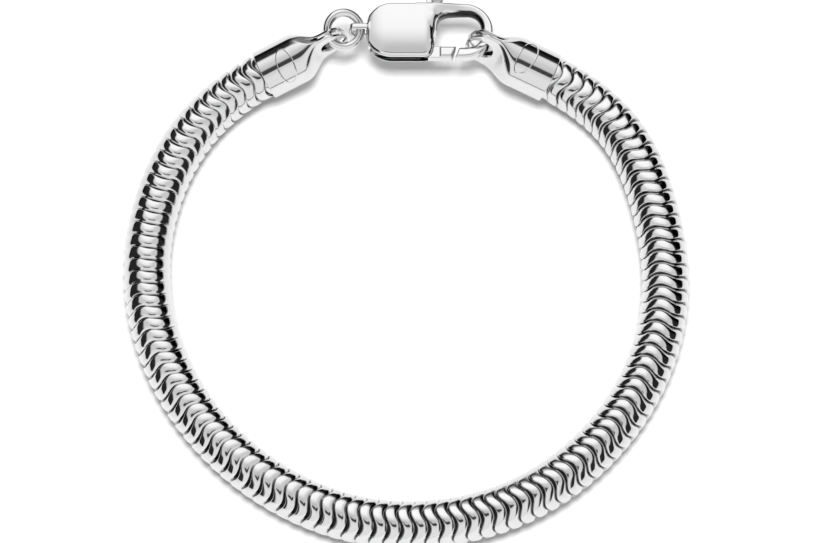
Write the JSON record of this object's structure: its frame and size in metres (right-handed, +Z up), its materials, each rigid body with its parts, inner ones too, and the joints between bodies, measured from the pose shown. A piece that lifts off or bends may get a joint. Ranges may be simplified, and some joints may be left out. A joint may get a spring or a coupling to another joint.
{
  "type": "snake chain bracelet",
  "caption": "Round snake chain bracelet lying as a closed loop, its end caps joined by a jump ring and a lobster clasp with a sprung lever.",
  "frame": {"origin": "bottom centre of the bounding box, on the floor the chain lies on", "axes": "+Z up; -Y toward the front of the loop, opposite the clasp; +X from the clasp's tail toward its hook"},
  "size_m": [0.0734, 0.0754, 0.0094],
  "materials": {
    "chain_silver": "mirror-polished silver links",
    "fitting_silver": "mirror-polished silver"
  },
  "bodies": {
    "bracelet": {"snake_chain": "chain_silver", "ring_end_cap": "fitting_silver", "clasp_end_cap": "fitting_silver", "jump_ring": "fitting_silver", "clasp_body": "fitting_silver", "lever_pin": "fitting_silver"},
    "lever": {"clasp_lever": "fitting_silver"}
  },
  "joints": [
    {"name": "clasp_lever_hinge", "type": "hinge", "parent": "bracelet", "child": "lever", "pos_m": [0.00288, 0.03031, 0.00628], "axis": [0, 0, 1], "range_deg": [0, 25], "stiffness_Nm_per_rad": 0.01, "springref_deg": -11.46}
  ]
}
